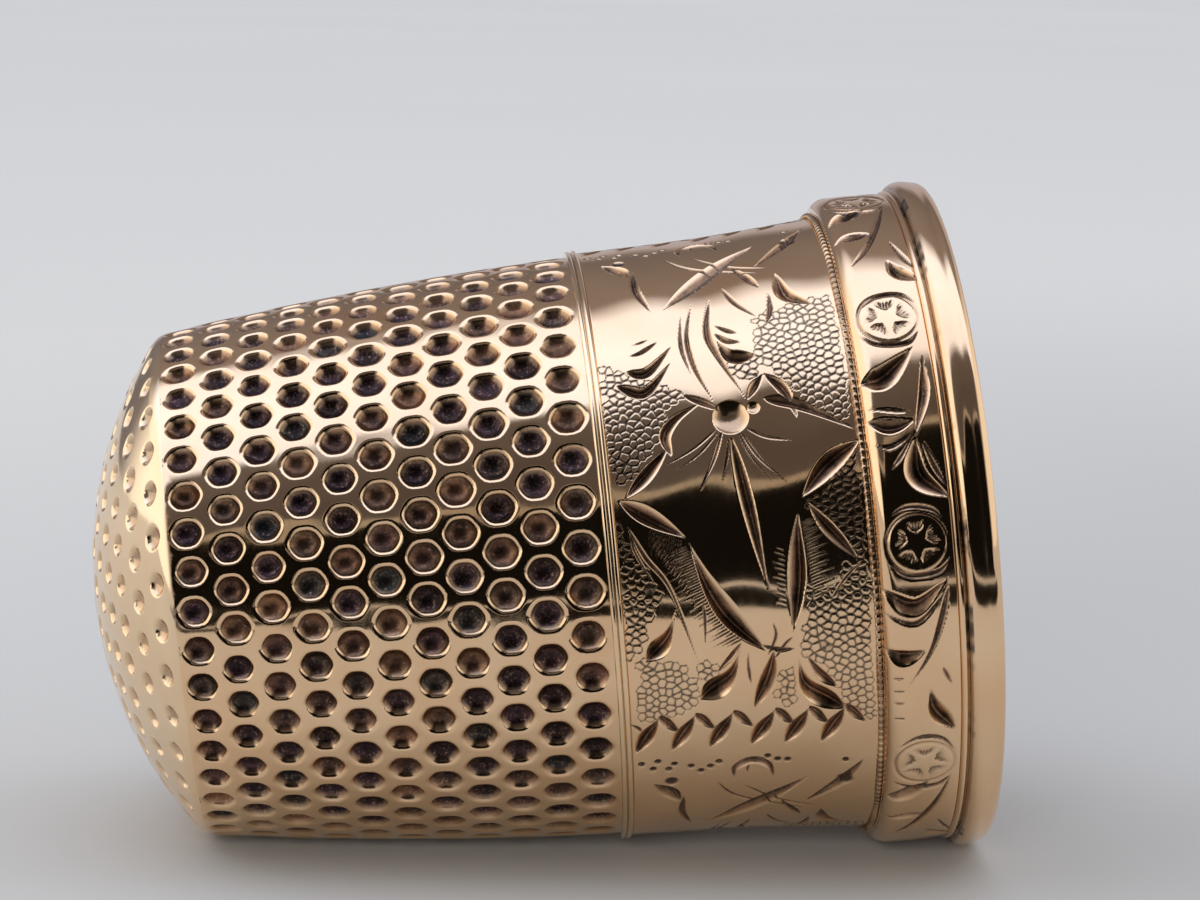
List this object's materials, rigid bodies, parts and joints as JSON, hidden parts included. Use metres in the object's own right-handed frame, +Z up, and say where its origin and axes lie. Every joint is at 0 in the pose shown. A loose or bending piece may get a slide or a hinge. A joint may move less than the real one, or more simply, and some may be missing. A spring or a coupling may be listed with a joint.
{
  "type": "sewing thimble",
  "caption": "Domed gold sewing thimble with rings of needle pits, an engraved band, a medallion border and a rolled rim, lying on its side.",
  "frame": {"origin": "the centre of the thimble's box at ground level, the thimble lying on its side on the ground z = 0", "axes": "+X towards the open mouth, along the length of the lying thimble, -X towards the crown; +Z up; the thimble's own axis leans 6.1 degrees, crown end down, in the XZ plane"},
  "size_m": [0.0226, 0.017, 0.0169],
  "materials": {
    "rose_gold": "polished, darkened in the recesses",
    "pale_gold": "polished"
  },
  "bodies": {
    "root": {"crown": "pale_gold", "pitted_wall": "rose_gold", "fillet_wire": "pale_gold", "engraved_band": "rose_gold", "beaded_edge": "pale_gold", "border_band": "rose_gold", "rim_ring": "rose_gold"}
  },
  "joints": []
}
